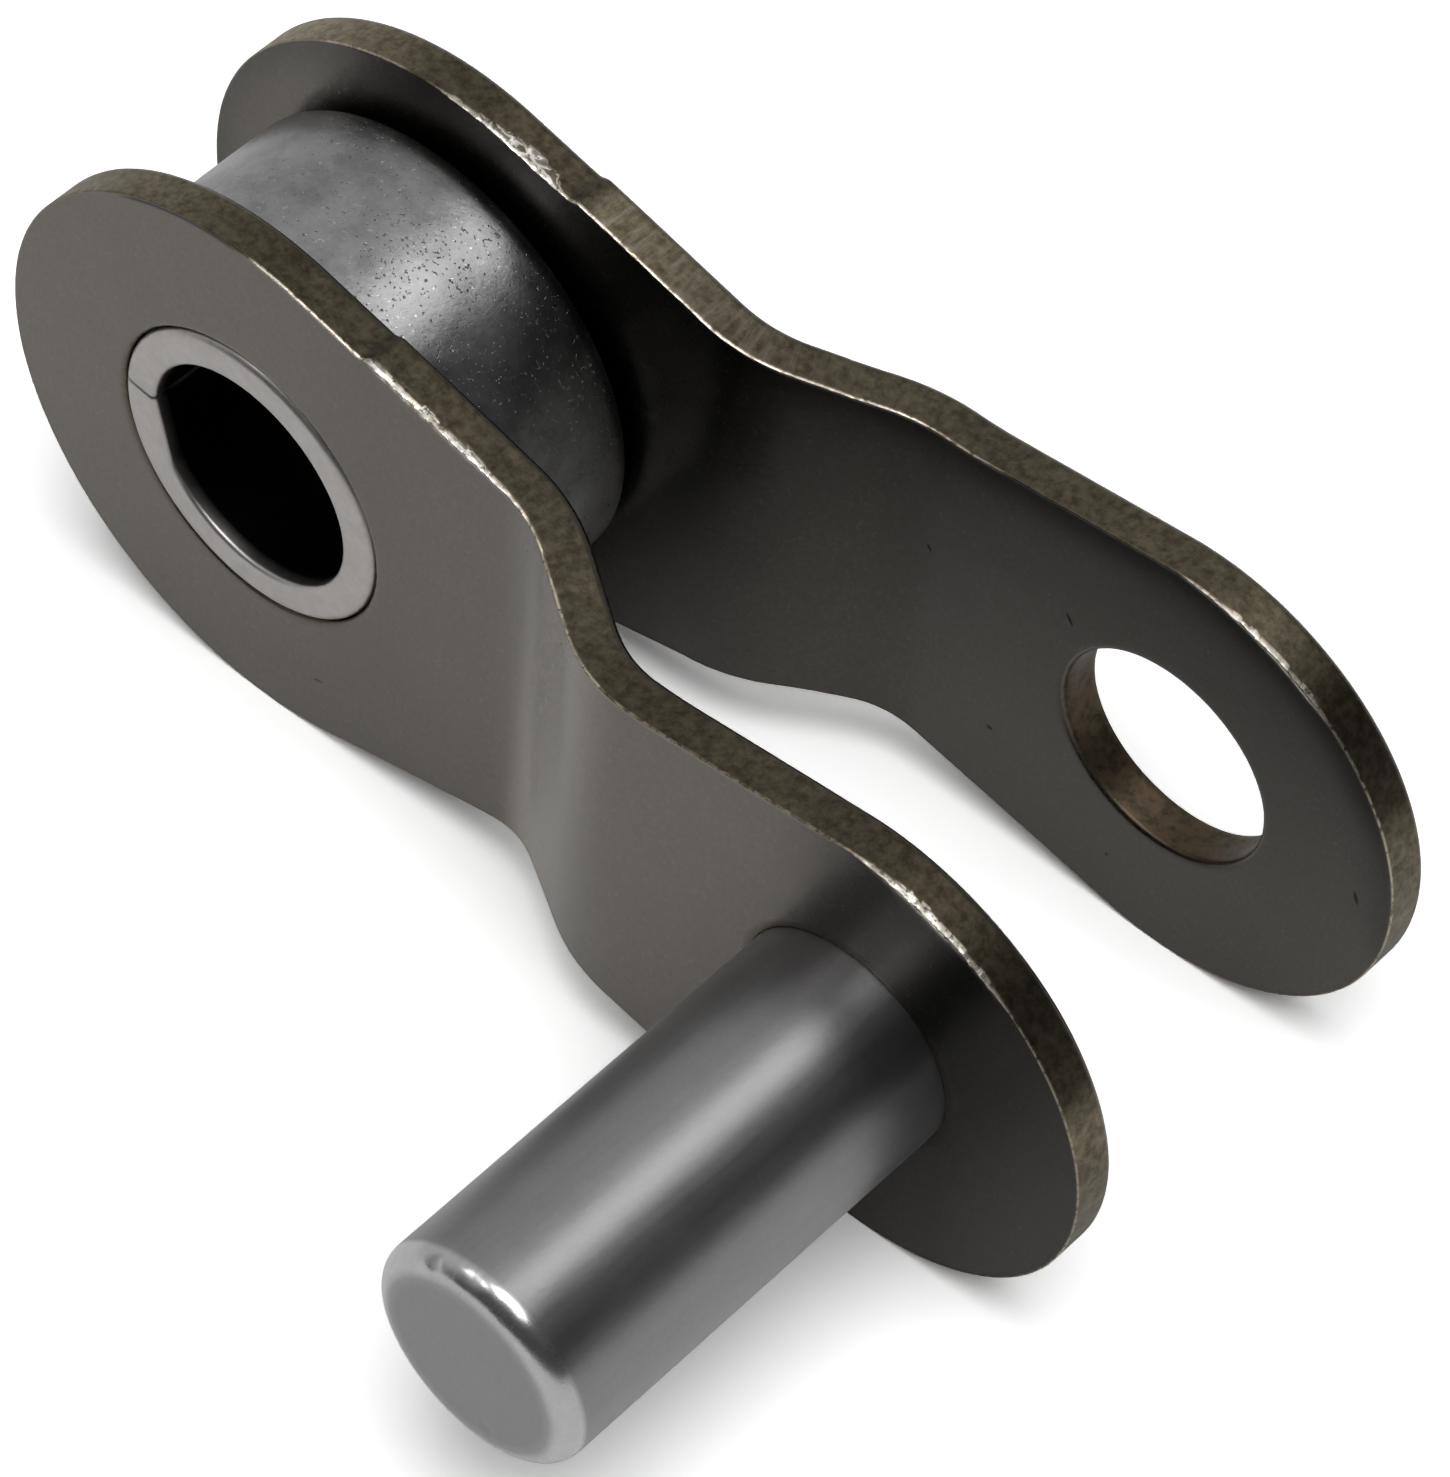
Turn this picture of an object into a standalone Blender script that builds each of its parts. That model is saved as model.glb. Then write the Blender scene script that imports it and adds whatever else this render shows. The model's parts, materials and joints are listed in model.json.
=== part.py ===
"""Offset link (half link) of a roller chain, with its connecting pin pressed part way out.

Two stamped side plates are cranked outwards so that the narrow end of the link fits into the wide end
of the next one. The narrow end holds a curled bush with a roller turning on it; the wide end takes the
pin. The link stands on the lower edges of its plates: +X runs from the bush to the pin, +Z is up and
the pin sticks out towards -Y.
"""
import math

import bmesh
import bpy
from mathutils import Vector

mm = 0.001

# Side plates
pitch = 12.7 * mm
plate_thickness = 0.72 * mm
narrow_inner_width = 3.42 * mm
wide_inner_width = 5.9 * mm
bush_lobe_radius = 4.82 * mm
pin_lobe_radius = 4.0 * mm
pin_lobe_offset = 0.16 * mm
waist_position = 8.0 * mm
waist_half_height = 3.25 * mm
waist_fillet = 6.0 * mm
lower_waist_position = 6.3 * mm
lower_waist_half_height = 3.0 * mm
lower_waist_fillet = 9.0 * mm
crank_start = 4.95 * mm
crank_angle = math.radians(30)
crank_bend_radius = 2.4 * mm
punch_step_height = 0.11 * mm
punch_step_position = 1.3 * mm
punch_step_length = 0.22 * mm
rolled_edge = 0.15 * mm
rolled_hole_edge = 0.1 * mm
sheared_edge = 0.03 * mm

# Bush, curled from flat strip
bush_outer_diameter = 5.03 * mm
bush_wall = 0.615 * mm
bush_stand_out = 0.03 * mm
bush_end_chamfer = 0.06 * mm
bush_seam_gap = 0.05 * mm
bush_seam_angle = math.radians(175)
bush_flat_angle = math.radians(37)

# Roller
roller_diameter = 7.7 * mm
roller_width = 3.2 * mm
roller_running_gap = 0.06 * mm
roller_corner_radius = 0.36 * mm
roller_bore_chamfer = 0.12 * mm

# Connecting pin
pin_diameter = 3.6 * mm
pin_length = 8.1 * mm
pin_end_radius = 0.37 * mm
pin_pulled_out = 7.0 * mm

# Gap drawn between pieces that are pressed together
press_gap = 0.015 * mm

# Fineness of the round shapes
arc_step = math.radians(5)
round_steps = 64
corner_steps = 4
bend_steps = 4
roll_steps = 3

# Worked out from the sizes above
narrow_outer_half = narrow_inner_width / 2 + plate_thickness
wide_outer_half = wide_inner_width / 2 + plate_thickness
bush_hole_radius = bush_outer_diameter / 2 + press_gap
pin_hole_radius = pin_diameter / 2 + press_gap
crank_rise = (wide_inner_width - narrow_inner_width) / 2
arc_rise = crank_bend_radius * (1 - math.cos(crank_angle))
straight_length = (crank_rise - 2 * arc_rise) / math.sin(crank_angle)
bend_length = crank_bend_radius * crank_angle
crank_run = 2 * crank_bend_radius * math.sin(crank_angle) + straight_length * math.cos(crank_angle)
blank_stretch = 2 * bend_length + straight_length - crank_run
hole_distance = pitch + blank_stretch
lobe_distance = pitch + pin_lobe_offset
stand_tilt = math.asin((bush_lobe_radius - pin_lobe_radius) / lobe_distance)
footprint_length = bush_lobe_radius + lobe_distance * math.cos(stand_tilt) + pin_lobe_radius
pin_outer_end = pin_pulled_out + pin_length / 2
link_depth_middle = (wide_outer_half - pin_outer_end) / 2


def clear_scene():
    """Remove every object and the data that they leave behind."""
    for thing in list(bpy.data.objects):
        bpy.data.objects.remove(thing, do_unlink=True)
    for group in (bpy.data.meshes, bpy.data.curves, bpy.data.materials):
        for block in list(group):
            group.remove(block)


def make_material(name, colour, roughness, metallic=1.0):
    """Return a plain metal: base colour, roughness and metallic value."""
    material = bpy.data.materials.new(name)
    material.use_nodes = True
    surface = material.node_tree.nodes["Principled BSDF"]
    surface.inputs["Base Color"].default_value = (*colour, 1.0)
    surface.inputs["Roughness"].default_value = roughness
    surface.inputs["Metallic"].default_value = metallic
    return material


def arc(centre, radius, start, end, step=arc_step):
    """Points along an arc from angle start to angle end, both included."""
    count = max(2, math.ceil(abs(end - start) / step))
    points = []
    for index in range(count + 1):
        angle = start + (end - start) * index / count
        points.append(Vector((centre[0] + radius * math.cos(angle), centre[1] + radius * math.sin(angle))))
    return points


def tangent_normal(centre, radius, corner, side):
    """Angle of the normal of the line from corner that touches the circle on its given side (1 or -1)."""
    offset = Vector(corner) - Vector(centre)
    return math.atan2(offset.y, offset.x) + side * math.acos(radius / offset.length)


def fillet(corner, before, after, radius):
    """Arc that rounds the concave corner between unit directions before (coming in) and after (going out)."""
    turn = before.angle_signed(after)
    reach = radius * math.tan(abs(turn) / 2)
    start = corner - before * reach
    side = Vector((before.y, -before.x)) * math.copysign(1, turn)
    centre = start + side * radius
    first = math.atan2(-side.y, -side.x)
    return arc(centre, radius, first, first - turn)


def shoulder(position, half_height, fillet_radius, step_height):
    """Edge of the blank from the bush lobe over a waist to the pin lobe, drawn above the middle line.

    The upper waist is cut by a punch of its own, which leaves a small step where it meets the lobe's
    edge. Returns the points and the two angles at which the edge leaves the lobes' circles.
    """
    wide_centre = Vector((lobe_distance + blank_stretch, 0))
    waist = Vector((position + blank_stretch, half_height))
    bush_side = tangent_normal((0, 0), bush_lobe_radius + step_height, waist, 1)
    pin_side = tangent_normal(wide_centre, pin_lobe_radius, waist, -1)
    normal = Vector((math.cos(bush_side), math.sin(bush_side)))
    falling = Vector((normal.y, -normal.x))
    rising = Vector((math.sin(pin_side), -math.cos(pin_side)))
    points = []
    if step_height > 0:
        foot = normal * bush_lobe_radius + falling * punch_step_position
        points.append(foot)
        points.append(foot + falling * punch_step_length + normal * step_height)
    points += fillet(waist, falling, rising, fillet_radius)
    return points, bush_side, pin_side


def blank_outline():
    """Outline of the flat plate, anticlockwise, with the punch step on its upper edge."""
    wide_centre = (lobe_distance + blank_stretch, 0)
    upper, upper_bush, upper_pin = shoulder(waist_position, waist_half_height, waist_fillet, punch_step_height)
    lower, lower_bush, lower_pin = shoulder(lower_waist_position, lower_waist_half_height, lower_waist_fillet, 0)
    outline = arc(wide_centre, pin_lobe_radius, -lower_pin, upper_pin)
    outline += reversed(upper)
    outline += arc((0, 0), bush_lobe_radius, upper_bush, 2 * math.pi - lower_bush)
    outline += [Vector((point.x, -point.y)) for point in lower]
    return outline


def circle_points(centre, radius):
    """A full circle as a closed run of points."""
    return arc(centre, radius, 0, 2 * math.pi, 2 * math.pi / round_steps)[:-1]


def extruded_mesh(name, outlines, thickness):
    """A flat outline with its holes as a filled 2D curve, extruded and turned into a welded mesh."""
    curve = bpy.data.curves.new(name, "CURVE")
    curve.dimensions = "2D"
    curve.fill_mode = "BOTH"
    curve.extrude = thickness / 2
    for outline in outlines:
        spline = curve.splines.new("POLY")
        spline.points.add(len(outline) - 1)
        for point, place in zip(spline.points, outline):
            point.co = (place.x, place.y, 0, 1)
        spline.use_cyclic_u = True
    drawn = bpy.data.objects.new(name + "_outline", curve)
    bpy.context.scene.collection.objects.link(drawn)
    evaluated = drawn.evaluated_get(bpy.context.evaluated_depsgraph_get())
    mesh = bpy.data.meshes.new_from_object(evaluated)
    bpy.data.objects.remove(drawn)
    bpy.data.curves.remove(curve)
    mesh.name = name
    shape = bmesh.new()
    shape.from_mesh(mesh)
    bmesh.ops.remove_doubles(shape, verts=shape.verts, dist=0.001 * mm)
    bmesh.ops.recalc_face_normals(shape, faces=shape.faces)
    return mesh, shape


def rim_edges(shape, level):
    """Sharp edges that lie in the plane z = level."""
    found = []
    for edge in shape.edges:
        flat = all(abs(vertex.co.z - level) < 0.001 * mm for vertex in edge.verts)
        if flat and edge.calc_face_angle(0) > math.radians(30):
            found.append(edge)
    return found


def bevel_edges(shape, edges, size, steps):
    """Round the given edges over the given size."""
    bmesh.ops.bevel(shape, geom=edges, offset=size, offset_type="OFFSET",
                    segments=steps, profile=0.5, affect="EDGES", clamp_overlap=True)


def join_cap_faces(shape):
    """Turn each face of the flat blank into two halves that meet on the line through both holes."""
    everything = shape.verts[:] + shape.edges[:] + shape.faces[:]
    bmesh.ops.bisect_plane(shape, geom=everything, dist=0.002 * mm, plane_co=(0, 0, 0), plane_no=(0, 1, 0))
    inner = []
    for edge in shape.edges:
        on_middle = all(abs(vertex.co.y) < 0.002 * mm for vertex in edge.verts)
        in_cap = all(abs(face.normal.z) > 0.9 for face in edge.link_faces)
        if in_cap and not on_middle:
            inner.append(edge)
    bmesh.ops.dissolve_edges(shape, edges=inner, use_verts=False, use_face_split=False)


def in_hole(edge):
    """Whether an edge of the flat blank lies on the rim of one of its two holes."""
    middle = (edge.verts[0].co + edge.verts[1].co) / 2
    from_bush = math.hypot(middle.x, middle.y)
    from_pin = math.hypot(middle.x - hole_distance, middle.y)
    return from_bush < bush_hole_radius * 1.05 or from_pin < pin_hole_radius * 1.05


def crank_point(along, across):
    """Carry a point of the flat blank onto the cranked plate: the place along X and the depth outwards.

    along is measured on the blank's middle surface and across is the distance from that surface.
    """
    bends = ((crank_start, 1), (crank_start + bend_length + straight_length, -1))
    place = Vector((min(along, crank_start), 0))
    angle = 0.0
    for start, sense in bends:
        turned = min(max(along - start, 0), bend_length) / crank_bend_radius
        if turned > 0:
            side = Vector((-math.sin(angle), math.cos(angle))) * sense
            before = place + side * crank_bend_radius
            angle += sense * turned
            side = Vector((-math.sin(angle), math.cos(angle))) * sense
            place = before - side * crank_bend_radius
        end = start + bend_length
        if sense > 0:
            run = min(max(along - end, 0), straight_length)
        else:
            run = max(along - end, 0)
        place += Vector((math.cos(angle), math.sin(angle))) * run
    return place + Vector((-math.sin(angle), math.cos(angle))) * across


def bend_plate(shape):
    """Cut the flat blank across its bends, then set it over into the crank."""
    cuts = []
    for start in (crank_start, crank_start + bend_length + straight_length):
        cuts += [start + bend_length * index / bend_steps for index in range(bend_steps + 1)]
    for place in cuts:
        everything = shape.verts[:] + shape.edges[:] + shape.faces[:]
        bmesh.ops.bisect_plane(shape, geom=everything, dist=0.002 * mm,
                               plane_co=(place, 0, 0), plane_no=(1, 0, 0))
    for vertex in shape.verts:
        moved = crank_point(vertex.co.x, vertex.co.z)
        vertex.co.x = moved.x
        vertex.co.z = narrow_outer_half - plate_thickness / 2 + moved.y


def plate_mesh(name, burr_outside):
    """A stamped and cranked side plate, lying with its outer face up.

    Blanking leaves the outline with a rolled edge on one face and a sharp, slightly broken one on the
    other. The holes are pierced from the sharp side, so their rolled rims are on that face.
    """
    bush_hole = circle_points((0, 0), bush_hole_radius)
    pin_hole = circle_points((hole_distance, 0), pin_hole_radius)
    outline = blank_outline()
    if not burr_outside:
        outline = [Vector((point.x, -point.y)) for point in reversed(outline)]
    mesh, shape = extruded_mesh(name, (outline, bush_hole, pin_hole), plate_thickness)
    join_cap_faces(shape)
    outer = plate_thickness / 2
    burr_level = outer if burr_outside else -outer
    for level, outline_size, hole_size in ((-burr_level, rolled_edge, sheared_edge),
                                           (burr_level, sheared_edge, rolled_hole_edge)):
        for pierced, size in ((True, hole_size), (False, outline_size)):
            edges = [edge for edge in rim_edges(shape, level) if in_hole(edge) == pierced]
            bevel_edges(shape, edges, size, 1 if size == sheared_edge else roll_steps)
    bend_plate(shape)
    shape.to_mesh(mesh)
    shape.free()
    return mesh


def bush_section():
    """Section of the curled bush: a ring with an open seam and a short flat in its bore."""
    outer_radius = bush_outer_diameter / 2
    inner_radius = outer_radius - bush_wall
    outer_half_gap = bush_seam_gap / 2 / outer_radius
    inner_half_gap = bush_seam_gap / 2 / inner_radius
    step = 2 * math.pi / round_steps
    outer = arc((0, 0), outer_radius, bush_seam_angle + outer_half_gap,
                bush_seam_angle + 2 * math.pi - outer_half_gap, step)
    inner = arc((0, 0), inner_radius, bush_seam_angle + 2 * math.pi - inner_half_gap,
                bush_seam_angle + bush_flat_angle, step)
    flat_start = bush_seam_angle + inner_half_gap
    inner.append(Vector((inner_radius * math.cos(flat_start), inner_radius * math.sin(flat_start))))
    return outer + inner


def bush_mesh(name):
    """The bush, long enough to stand just proud of both plates."""
    length = 2 * (narrow_outer_half + bush_stand_out)
    mesh, shape = extruded_mesh(name, (bush_section(),), length)
    for level in (-length / 2, length / 2):
        bevel_edges(shape, rim_edges(shape, level), bush_end_chamfer, 1)
    shape.to_mesh(mesh)
    shape.free()
    return mesh


def turned_part(name, profile, closed):
    """An object whose profile in the XZ plane is turned about Z by a Screw modifier."""
    mesh = bpy.data.meshes.new(name)
    count = len(profile)
    links = [(index, index + 1) for index in range(count - 1)]
    if closed:
        links.append((count - 1, 0))
    mesh.from_pydata([(point.x, 0, point.y) for point in profile], links, [])
    part = bpy.data.objects.new(name, mesh)
    screw = part.modifiers.new("Turn", "SCREW")
    screw.axis = "Z"
    screw.steps = round_steps
    screw.render_steps = round_steps
    screw.use_merge_vertices = True
    screw.merge_threshold = 0.001 * mm
    return part


def roller_profile():
    """Half section of the roller: rounded outer corners and a small chamfer at each end of the bore."""
    outer = roller_diameter / 2
    bore = bush_outer_diameter / 2 + roller_running_gap
    half = roller_width / 2
    corner = roller_corner_radius
    step = math.pi / 2 / corner_steps
    points = arc((outer - corner, half - corner), corner, math.pi / 2, 0, step)
    points += arc((outer - corner, corner - half), corner, 0, -math.pi / 2, step)
    points += [Vector((bore + roller_bore_chamfer, -half)), Vector((bore, roller_bore_chamfer - half))]
    points += [Vector((bore, half - roller_bore_chamfer)), Vector((bore + roller_bore_chamfer, half))]
    return points


def pin_profile():
    """Half section of the pin, from the axis at one end to the axis at the other."""
    radius = pin_diameter / 2
    half = pin_length / 2
    end = pin_end_radius
    step = math.pi / 2 / corner_steps
    points = [Vector((0, half))]
    points += arc((radius - end, half - end), end, math.pi / 2, 0, step)
    points += arc((radius - end, end - half), end, 0, -math.pi / 2, step)
    points.append(Vector((0, -half)))
    return points


def finish_part(part, collection, material, parent, location, turn):
    """Give a part its material and smooth shading, and place it on the link."""
    part.data.materials.append(material)
    part.data.shade_smooth()
    part.data.set_sharp_from_angle(angle=math.radians(30))
    collection.objects.link(part)
    part.parent = parent
    part.location = location
    part.rotation_euler = turn


def build_link():
    """Make the five pieces of the link and stand it on its plates' lower edges."""
    clear_scene()
    collection = bpy.data.collections.new("offset_chain_link")
    bpy.context.scene.collection.children.link(collection)

    link = bpy.data.objects.new("link_axes", None)
    collection.objects.link(link)
    link.location = (bush_lobe_radius - footprint_length / 2, -link_depth_middle, bush_lobe_radius)
    link.rotation_euler = (0, stand_tilt, 0)

    plate_steel = make_material("plate_steel", (0.22, 0.21, 0.19), 0.55)
    bush_steel = make_material("bush_steel", (0.55, 0.54, 0.53), 0.35)
    roller_steel = make_material("roller_steel", (0.42, 0.42, 0.42), 0.38)
    pin_steel = make_material("pin_steel", (0.50, 0.50, 0.50), 0.30)

    outwards = math.radians(90)
    pin_side = bpy.data.objects.new("plate_pin_side", plate_mesh("plate_pin_side", True))
    finish_part(pin_side, collection, plate_steel, link, (0, 0, 0), (outwards, 0, 0))
    hole_side = bpy.data.objects.new("plate_hole_side", plate_mesh("plate_hole_side", False))
    finish_part(hole_side, collection, plate_steel, link, (0, 0, 0), (-outwards, 0, 0))
    bush = bpy.data.objects.new("bush", bush_mesh("bush"))
    finish_part(bush, collection, bush_steel, link, (0, 0, 0), (outwards, 0, 0))
    roller = turned_part("roller", roller_profile(), True)
    finish_part(roller, collection, roller_steel, link, (0, 0, 0), (outwards, 0, 0))
    pin = turned_part("connecting_pin", pin_profile(), False)
    finish_part(pin, collection, pin_steel, link, (pitch, -pin_pulled_out, 0), (outwards, 0, 0))


build_link()
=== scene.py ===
"""Looks of an offset chain link: two stamped and cranked plates, a curled bush, a roller and a pin.

Every piece is a surface worked out from the sizes of the link, in millimetres and in the link's own
axes: u runs from the bush's axis to the pin's axis, v is the depth along the pin's axis, w is up. The
last step carries a surface into the frame, in metres, where the link stands on its plates' lower edges.
"""
import json
import math

import bmesh
import bpy
import numpy as np
from mathutils import Matrix, Vector


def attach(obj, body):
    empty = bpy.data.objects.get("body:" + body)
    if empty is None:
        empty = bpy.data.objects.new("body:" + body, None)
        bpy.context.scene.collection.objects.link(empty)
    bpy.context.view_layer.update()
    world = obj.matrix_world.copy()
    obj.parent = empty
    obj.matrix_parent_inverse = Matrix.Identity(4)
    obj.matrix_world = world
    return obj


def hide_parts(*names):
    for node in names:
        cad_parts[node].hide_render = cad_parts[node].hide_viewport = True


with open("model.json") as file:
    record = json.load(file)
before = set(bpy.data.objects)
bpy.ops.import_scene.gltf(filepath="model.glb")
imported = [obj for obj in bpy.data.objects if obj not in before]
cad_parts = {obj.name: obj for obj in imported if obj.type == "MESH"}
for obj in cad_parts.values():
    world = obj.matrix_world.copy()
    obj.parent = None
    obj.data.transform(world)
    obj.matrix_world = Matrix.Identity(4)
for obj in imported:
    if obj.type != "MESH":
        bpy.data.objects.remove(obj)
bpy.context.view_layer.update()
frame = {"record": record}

mm = 0.001

# Side plates
pitch = 12.7
plate_thickness = 0.72
narrow_inner_width = 3.42
wide_inner_width = 5.9
bush_lobe_radius = 4.82
pin_lobe_radius = 4.0
pin_lobe_offset = 0.16
waist_position = 8.0
waist_half_height = 3.25
waist_fillet = 6.0
lower_waist_position = 6.3
lower_waist_half_height = 3.0
lower_waist_fillet = 9.0
crank_start = 4.95
crank_angle = math.radians(30)
crank_bend_radius = 2.4
punch_step_height = 0.11
punch_step_position = 1.3
punch_step_length = 0.22
rolled_edge = 0.15
rolled_hole_edge = 0.1

# Bush, roller and pin
bush_outer_diameter = 5.03
bush_wall = 0.615
bush_stand_out = 0.03
bush_seam_gap = 0.05
bush_seam_angle = math.radians(175)
bush_flat_angle = math.radians(37)
bush_outer_round = 0.15
bush_inner_round = 0.09
roller_diameter = 7.7
roller_width = 3.2
roller_running_gap = 0.06
roller_corner_radius = 0.36
roller_bore_corner = 0.1
pin_diameter = 3.6
pin_length = 8.1
pin_end_radius = 0.37
pin_pulled_out = 7.0
press_gap = 0.015
held_pin_gap = 0.004
held_pin_roll = 0.02

# Dents of the pin's near end: angle, radius, depth from the end, reach and how deep
pin_dents = (
    (116, 1.72, 0.13, 0.11, 0.035),
    (95, 1.77, 0.2, 0.15, 0.018),
    (73, 1.77, 0.22, 0.2, 0.02),
    (287, 1.23, 0.0, 0.08, 0.05),
)

# Radii and depths between which the masks of the pin's face and rim and of the bush's bore change
pin_face_radii = (1.36, 1.46)
pin_rim_radii = (1.38, 1.60)
pin_rim_depths = (0.28, 0.38)
bush_bore_depths = (0.06, 0.22)

# Fineness of the surfaces, in millimetres, cells or points
merge_reach = 0.0002
sliver_length = 0.00005
arc_spacing = 0.01
chord_half = 0.03
upper_step = 0.04
lower_step = 0.11
cut_columns = 40
face_rows = 24
edge_samples = 260
roller_columns = 480
pin_columns = 320
bush_columns = 361
axis_gap = 0.0001

# Borders of the strips along the outline and around the holes, and of what counts as the burr's face
strip_inset = 0.3
strip_insets = (strip_inset, 0.22, 0.16, 0.12, 0.09, 0.065, 0.045, 0.028, 0.014)
hole_strip = 0.25
half_thick = plate_thickness / 2
band_start = half_thick - 0.012
burr_face_level = half_thick - 0.005

# Waves of the plates' faces: heights, lengths and seeds
wave_height = 0.003
wave_length = 1.6
ripple_height = 0.0012
ripple_length = 0.5
burr_face_seed = 11
rolled_face_seed = 21

# Worked out from the sizes above
narrow_middle = narrow_inner_width / 2 + plate_thickness / 2
crank_rise = (wide_inner_width - narrow_inner_width) / 2
arc_rise = crank_bend_radius * (1 - math.cos(crank_angle))
straight_length = (crank_rise - 2 * arc_rise) / math.sin(crank_angle)
bend_length = crank_bend_radius * crank_angle
crank_run = 2 * crank_bend_radius * math.sin(crank_angle) + straight_length * math.cos(crank_angle)
blank_stretch = 2 * bend_length + straight_length - crank_run
lobe_distance = pitch + pin_lobe_offset
stand_tilt = math.asin((bush_lobe_radius - pin_lobe_radius) / lobe_distance)
cut_position = crank_start + bend_length + straight_length / 2

joints = frame["record"]["behaviour"]["joints"]
roller_joint = next(joint for joint in joints if joint["name"] == "roller_spin")
bush_axis = np.array(roller_joint["pos_m"]) / mm

# The camera, fitted to the edges in the photograph
photo_width = 1450
focal_length_px = 6833.6
camera_place = (0.043769, -0.042537, 0.077741)
camera_azimuth = math.radians(42.729)
camera_elevation = math.radians(50.080)
camera_roll = math.radians(-0.207)
sensor_width = 36.0


def smooth_ramp(value, low, high):
    """0 below low, 1 above high, and the cubic 3t^2 - 2t^3 between."""
    t = np.clip((value - low) / (high - low), 0, 1)
    return t * t * (3 - 2 * t)


def hashed(spot, seed):
    """A value from -1 to 1 for each whole-numbered lattice point, mixed by large odd factors."""
    code = spot[..., 0] * 73856093 ^ spot[..., 1] * 19349663 ^ spot[..., 2] * 83492791 ^ seed * 2654435761
    code = (code ^ (code >> 13)) * 1274126177 & 0xFFFFFFFF
    code = (code ^ (code >> 16)) * 2246822519 & 0xFFFFFFFF
    return (code ^ (code >> 15)) / 0xFFFFFFFF * 2 - 1


def lattice_noise(points, cell, seed):
    """Smooth noise from -1 to 1: hashed values on a cubic lattice, blended with cubic weights."""
    scaled = np.asarray(points, float) / cell
    base = np.floor(scaled)
    part = scaled - base
    weight = part * part * (3 - 2 * part)
    base = base.astype(np.int64)
    total = np.zeros(scaled.shape[:-1])
    for corner in np.ndindex(2, 2, 2):
        share = np.prod(np.where(corner, weight, 1 - weight), axis=-1)
        total += hashed(base + np.array(corner), seed) * share
    return total


def block_noise(points, cell, seed):
    """Noise from -1 to 1 that is the same within each block of a lattice."""
    spot = np.floor(np.asarray(points, float) / cell).astype(np.int64)
    return hashed(spot, seed)


def joined(*parts):
    """Points from their parts, which are spread to one shape."""
    return np.stack(np.broadcast_arrays(*parts), axis=-1)


def to_frame(u, v, w):
    """Turn link axes (mm) by the stand tilt about the bush's axis and move them there, in metres."""
    x = bush_axis[0] + u * math.cos(stand_tilt) + w * math.sin(stand_tilt)
    y = bush_axis[1] + v
    z = bush_axis[2] - u * math.sin(stand_tilt) + w * math.cos(stand_tilt)
    return joined(x, y, z) * mm


def grid_faces(rows, columns, first, wraps):
    """Four corners of each cell of a grid whose points are numbered row by row from first."""
    across = columns if wraps else columns - 1
    row, column = np.meshgrid(np.arange(rows - 1), np.arange(across), indexing="ij")
    following = (column + 1) % columns
    corners = joined(row * columns + column, row * columns + following,
                     (row + 1) * columns + following, (row + 1) * columns + column)
    return corners.reshape(-1, 4) + first


def surface_piece(name, grids, attributes=()):
    """One object from grids of frame points, joined where they share borders.

    Each grid is (points, wraps, values), with one value array for each attribute name.
    """
    points, faces, values = [], [], {key: [] for key in attributes}
    first = 0
    for grid, wraps, data in grids:
        rows, columns = grid.shape[:2]
        points.append(grid.reshape(-1, 3))
        faces.append(grid_faces(rows, columns, first, wraps))
        for key, array in zip(attributes, data):
            values[key].append(np.broadcast_to(array, (rows, columns)).reshape(-1))
        first += rows * columns
    points = np.concatenate(points)
    faces = np.concatenate(faces)
    mesh = bpy.data.meshes.new(name)
    mesh.from_pydata(points, [], faces)
    for key in attributes:
        layer = mesh.attributes.new(key, "FLOAT", "POINT")
        layer.data.foreach_set("value", np.concatenate(values[key]).astype(np.float32))
    close_mesh(mesh)
    mesh.shade_smooth()
    piece = bpy.data.objects.new(name, mesh)
    bpy.context.scene.collection.objects.link(piece)
    return piece


def close_mesh(mesh):
    """Merge the points that grids share, drop slivers and turn the faces outwards."""
    shape = bmesh.new()
    shape.from_mesh(mesh)
    bmesh.ops.remove_doubles(shape, verts=shape.verts, dist=merge_reach * mm)
    bmesh.ops.dissolve_degenerate(shape, edges=shape.edges, dist=sliver_length * mm)
    bmesh.ops.recalc_face_normals(shape, faces=shape.faces)
    shape.to_mesh(mesh)
    shape.free()


def round_points(centre, radius, start, end):
    """Points of an arc, about arc_spacing apart."""
    angle = np.linspace(start, end, int(abs(end - start) * radius / arc_spacing) + 2)
    return joined(centre[0] + radius * np.cos(angle), centre[1] + radius * np.sin(angle))


def tangent_angle(centre, radius, corner, side):
    """Angle of the normal of the line from corner that touches the circle on its side 1 or -1."""
    offset = corner - centre
    return math.atan2(offset[1], offset[0]) + side * math.acos(radius / np.linalg.norm(offset))


def edge_runs(position, half_height, fillet_radius):
    """One edge of the blank above its middle line, from the pin lobe's far end to the bush lobe's.

    Three runs: an arc about the pin lobe, the waist's fillet and an arc about the bush lobe. The
    straights that touch the arcs lie between them.
    """
    waist = np.array([position + blank_stretch, half_height])
    wide_centre = np.array([lobe_distance + blank_stretch, 0.0])
    bush_side = tangent_angle(np.zeros(2), bush_lobe_radius, waist, 1)
    pin_side = tangent_angle(wide_centre, pin_lobe_radius, waist, -1)
    falling = np.array([math.sin(bush_side), -math.cos(bush_side)])
    rising = np.array([math.sin(pin_side), -math.cos(pin_side)])
    turn = math.acos(falling @ rising)
    left = np.array([-falling[1], falling[0]])
    centre = waist - falling * fillet_radius * math.tan(turn / 2) + left * fillet_radius
    first = math.atan2(-left[1], -left[0])
    lobe = round_points(wide_centre, pin_lobe_radius, 0, pin_side)
    fillet = round_points(centre, fillet_radius, first + turn, first)
    return lobe, fillet, round_points(np.zeros(2), bush_lobe_radius, bush_side, math.pi)


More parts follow.
